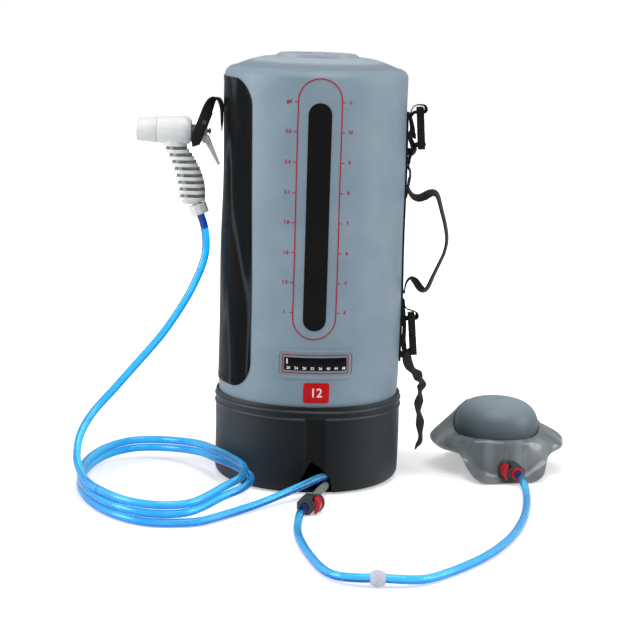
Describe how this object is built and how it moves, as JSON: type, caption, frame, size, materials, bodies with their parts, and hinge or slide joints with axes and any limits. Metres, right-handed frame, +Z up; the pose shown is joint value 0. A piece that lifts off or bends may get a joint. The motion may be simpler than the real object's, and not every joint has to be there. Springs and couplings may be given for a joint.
{
  "type": "camp shower with foot pump",
  "caption": "Soft standing water tank with a solar side panel, a spray gun on a coiled hose, and a foot pump that presses air in through a hose with quick couplings and a check valve.",
  "frame": {"origin": "centre of the tank's base plate on the floor", "axes": "+Z up, level window towards -Y, spray gun towards -X, foot pump towards +X"},
  "size_m": [0.5422, 0.5447, 0.4654],
  "materials": {
    "tank_film": "satin coated film",
    "top_film": "satin coated film",
    "neck": "moulded, satin",
    "gasket": "matt",
    "window": "clear dark window",
    "thermo": "gloss film",
    "badge": "gloss film",
    "panel": "gloss film",
    "skirt": "coated fabric",
    "piping": "matt",
    "fitting": "moulded, satin",
    "clear_pipe": "clear",
    "webbing": "woven",
    "buckle": "moulded, satin",
    "steel": "bright",
    "gun_white": "moulded, gloss",
    "gland": "moulded, satin",
    "lever": "moulded, gloss",
    "hose": "clear blue, gloss",
    "coupling": "moulded, satin",
    "button": "moulded, gloss",
    "valve": "translucent",
    "dome": "satin",
    "pump_film": "translucent film",
    "foam": "open foam"
  },
  "bodies": {
    "shower": {"tank_wall": "tank_film", "top_panel": "top_film", "tank_floor": "skirt", "fill_neck": "neck", "level_window": "window", "thermometer_frame": "tank_film", "thermometer_strip": "thermo", "capacity_badge": "badge", "solar_panel": "panel", "base_skirt": "skirt", "skirt_piping": "piping", "base_plate": "skirt", "water_outlet": "fitting", "air_inlet": "fitting", "bulkhead_nuts": "fitting", "inlet_spigot": "clear_pipe", "holster_strap": "webbing", "holster_stud": "steel", "side_webbing": "webbing", "carry_handle": "webbing", "buckle_webbing": "webbing", "upper_buckle_socket": "buckle", "upper_buckle_plug": "buckle", "lower_buckle_socket": "buckle", "gun_body_near": "gun_white", "gun_body_far": "gun_white", "rear_gland": "gland", "trigger_pin": "steel", "valve_spring": "steel", "inner_tube": "fitting", "hose_tail": "fitting", "hose_nut": "gun_white", "water_hose_lead": "hose", "water_hose_coil": "hose", "water_hose_riser": "hose", "air_hose_tank_side": "hose", "air_hose_pump_side": "hose", "tank_coupling_body": "coupling", "pump_coupling_body": "coupling", "coupling_springs": "steel", "coupling_collets": "button", "check_valve_body": "valve", "pump_base": "pump_film", "pump_skirt": "pump_film", "pump_foam": "foam", "pump_outlet": "fitting"},
    "gasket_lift": {"cap_gasket": "gasket"},
    "cap": {"fill_cap": "neck"},
    "nozzle": {"spray_nozzle": "gun_white", "rose_plate": "lever"},
    "trigger": {"trigger": "lever"},
    "valve": {"valve_stem": "steel", "valve_washer": "gasket"},
    "dome": {"pump_dome": "dome"},
    "flap": {"intake_flap": "gasket"},
    "tank_button": {"tank_coupling_button": "button"},
    "pump_button": {"pump_coupling_button": "button"},
    "check_disc": {"check_valve_disc": "gasket"},
    "buckle_plug": {"lower_buckle_plug": "buckle", "strap_tail": "webbing"}
  },
  "joints": [
    {"name": "fill_cap_rise", "type": "slide", "parent": "shower", "child": "gasket_lift", "axis": [0, 0, 1], "range_m": [0, 0.0185]},
    {"name": "fill_cap_turn", "type": "hinge", "parent": "gasket_lift", "child": "cap", "pos_m": [0, 0, 0.46], "axis": [0, 0, 1], "range_deg": [0, 1080]},
    {"name": "nozzle_twist", "type": "hinge", "parent": "shower", "child": "nozzle", "pos_m": [-0.185, 0, 0.378], "axis": [-1, 0, 0], "range_deg": [-90, 90]},
    {"name": "trigger_squeeze", "type": "hinge", "parent": "shower", "child": "trigger", "pos_m": [-0.119, 0, 0.369], "axis": [0, 1, 0], "range_deg": [0, 16], "stiffness_Nm_per_rad": 1.5},
    {"name": "valve_lift", "type": "slide", "parent": "shower", "child": "valve", "axis": [1, 0, 0], "range_m": [0, 0.0027]},
    {"name": "pump_press", "type": "slide", "parent": "shower", "child": "dome", "axis": [0, 0, -1], "range_m": [0, 0.02], "stiffness_N_per_m": 3000, "deforming": ["pump_skirt", "pump_foam"]},
    {"name": "intake_open", "type": "hinge", "parent": "dome", "child": "flap", "pos_m": [0.215, 0.052, 0.0776], "axis": [1, 0, 0], "range_deg": [0, 25], "stiffness_Nm_per_rad": 0.004},
    {"name": "tank_release", "type": "slide", "parent": "shower", "child": "tank_button", "axis": [-0.9744, 0.225, 0], "range_m": [0, 0.0025], "stiffness_N_per_m": 800},
    {"name": "pump_release", "type": "slide", "parent": "shower", "child": "pump_button", "axis": [0.9744, 0.225, 0], "range_m": [0, 0.0025], "stiffness_N_per_m": 800},
    {"name": "check_valve_open", "type": "slide", "parent": "shower", "child": "check_disc", "axis": [-1, 0, 0], "range_m": [0, 0.002], "stiffness_N_per_m": 30},
    {"name": "lower_buckle_release", "type": "slide", "parent": "shower", "child": "buckle_plug", "axis": [0.0872, 0, -0.9962], "range_m": [0, 0.016]}
  ],
  "couplings": [
    {"joint": "fill_cap_rise", "follows": "fill_cap_turn", "m_per_rad": 0.00095493},
    {"joint": "valve_lift", "follows": "trigger_squeeze", "m_per_rad": 0.009}
  ]
}
